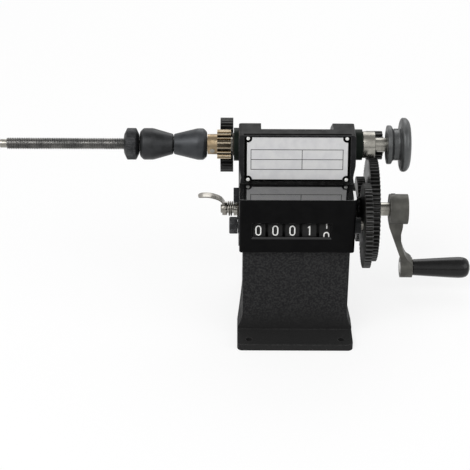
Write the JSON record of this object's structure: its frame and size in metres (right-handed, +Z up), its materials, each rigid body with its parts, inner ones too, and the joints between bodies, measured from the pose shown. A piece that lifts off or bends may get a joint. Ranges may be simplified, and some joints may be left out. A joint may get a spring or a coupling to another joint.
{
  "type": "coil winding machine",
  "caption": "Hand-cranked bench coil winder with a threaded spindle, two winding cones, an exposed gear train and a wheel counter.",
  "frame": {"origin": "centre of the four base holes, on the underside of the foot", "axes": "+Z up, +X along every shaft towards the crank, +Y to the back"},
  "size_m": [0.413, 0.1458, 0.175],
  "materials": {
    "cast_black": "black paint over a rough casting",
    "case_black": "gloss black enamel",
    "plate_aluminium": "brushed",
    "black_steel": "black oxide",
    "steel": "turned",
    "bronze": "machined",
    "nickel": "nickel plated",
    "arm_cast": "blasted casting, bare",
    "grip_black": "gloss",
    "wheel_black": "matte with white digits"
  },
  "bodies": {
    "frame": {"stand_casting": "cast_black", "name_plate": "plate_aluminium", "name_plate_screws": "nickel", "spindle_bushes": "bronze", "layshaft_bushes": "bronze", "crank_bushes": "bronze", "counter_bushes": "black_steel", "counter_case": "case_black", "case_screws": "nickel", "carry_shaft": "steel", "carry_pinions": "black_steel", "cheek_bolt": "black_steel"},
    "spindle_line": {"spindle": "steel", "spindle_pinion": "bronze", "pinion_set_screw": "black_steel", "inner_cone": "black_steel", "shaft_collar": "steel", "collar_set_screw": "black_steel", "drive_pulley": "black_steel", "pulley_set_screw": "black_steel"},
    "outer_cone": {"outer_cone": "black_steel"},
    "clamp_nut": {"knurled_nut": "black_steel"},
    "layshaft_line": {"layshaft": "steel", "layshaft_pinion": "black_steel", "layshaft_gear": "black_steel", "layshaft_rings": "steel"},
    "crank_line": {"crank_shaft": "steel", "crank_gear": "black_steel", "counter_drive_gear": "black_steel", "gear_spacers": "steel", "crank_arm": "arm_cast", "crank_set_screw": "black_steel", "grip_pin": "steel", "drag_sleeve": "steel", "drag_spring": "nickel"},
    "grip": {"hand_grip": "grip_black"},
    "drag_nut": {"lever_nut": "nickel"},
    "units_line": {"counter_gear": "black_steel", "drive_sleeve": "steel", "number_wheel_units": "wheel_black"},
    "tens_wheel": {"number_wheel_tens": "wheel_black"},
    "hundreds_wheel": {"number_wheel_hundreds": "wheel_black"},
    "thousands_wheel": {"number_wheel_thousands": "wheel_black"},
    "ten_thousands_wheel": {"number_wheel_ten_thousands": "wheel_black"},
    "reset_line": {"counter_shaft": "steel", "reset_knob": "black_steel"}
  },
  "joints": [
    {"name": "crank_turn", "type": "hinge", "parent": "frame", "child": "crank_line", "pos_m": [0, 0.0342, 0.0833], "axis": [1, 0, 0], "continuous": true},
    {"name": "grip_turn", "type": "hinge", "parent": "crank_line", "child": "grip", "pos_m": [0.1087, 0.0342, 0.0233], "axis": [1, 0, 0], "continuous": true},
    {"name": "drag_nut_turn", "type": "hinge", "parent": "crank_line", "child": "drag_nut", "pos_m": [-0.0628, 0.0342, 0.0833], "axis": [1, 0, 0], "continuous": true},
    {"name": "layshaft_turn", "type": "hinge", "parent": "frame", "child": "layshaft_line", "pos_m": [0, 0.05708, 0.13469], "axis": [1, 0, 0], "continuous": true},
    {"name": "spindle_turn", "type": "hinge", "parent": "frame", "child": "spindle_line", "pos_m": [0, 0.027, 0.15], "axis": [1, 0, 0], "continuous": true},
    {"name": "nut_slide", "type": "slide", "parent": "spindle_line", "child": "clamp_nut", "axis": [-1, 0, 0], "range_m": [0, 0.09]},
    {"name": "outer_cone_slide", "type": "slide", "parent": "spindle_line", "child": "outer_cone", "axis": [-1, 0, 0], "range_m": [0, 0.09]},
    {"name": "counter_drive_turn", "type": "hinge", "parent": "frame", "child": "units_line", "pos_m": [0, -0.02535, 0.1001], "axis": [1, 0, 0], "continuous": true},
    {"name": "tens_turn", "type": "hinge", "parent": "frame", "child": "tens_wheel", "pos_m": [0, -0.02535, 0.1001], "axis": [1, 0, 0], "continuous": true},
    {"name": "hundreds_turn", "type": "hinge", "parent": "frame", "child": "hundreds_wheel", "pos_m": [0, -0.02535, 0.1001], "axis": [1, 0, 0], "continuous": true},
    {"name": "thousands_turn", "type": "hinge", "parent": "frame", "child": "thousands_wheel", "pos_m": [0, -0.02535, 0.1001], "axis": [1, 0, 0], "continuous": true},
    {"name": "ten_thousands_turn", "type": "hinge", "parent": "frame", "child": "ten_thousands_wheel", "pos_m": [0, -0.02535, 0.1001], "axis": [1, 0, 0], "continuous": true},
    {"name": "reset_knob_turn", "type": "hinge", "parent": "frame", "child": "reset_line", "pos_m": [0, -0.02535, 0.1001], "axis": [1, 0, 0], "continuous": true}
  ],
  "couplings": [
    {"joint": "layshaft_turn", "follows": "crank_turn", "ratio": -4},
    {"joint": "spindle_turn", "follows": "crank_turn", "ratio": 8},
    {"joint": "counter_drive_turn", "follows": "crank_turn", "ratio": -0.8},
    {"joint": "tens_turn", "follows": "crank_turn", "ratio": -0.08},
    {"joint": "hundreds_turn", "follows": "crank_turn", "ratio": -0.008},
    {"joint": "thousands_turn", "follows": "crank_turn", "ratio": -0.0008},
    {"joint": "ten_thousands_turn", "follows": "crank_turn", "ratio": -0.00008},
    {"joint": "outer_cone_slide", "follows": "nut_slide", "ratio": 1}
  ]
}
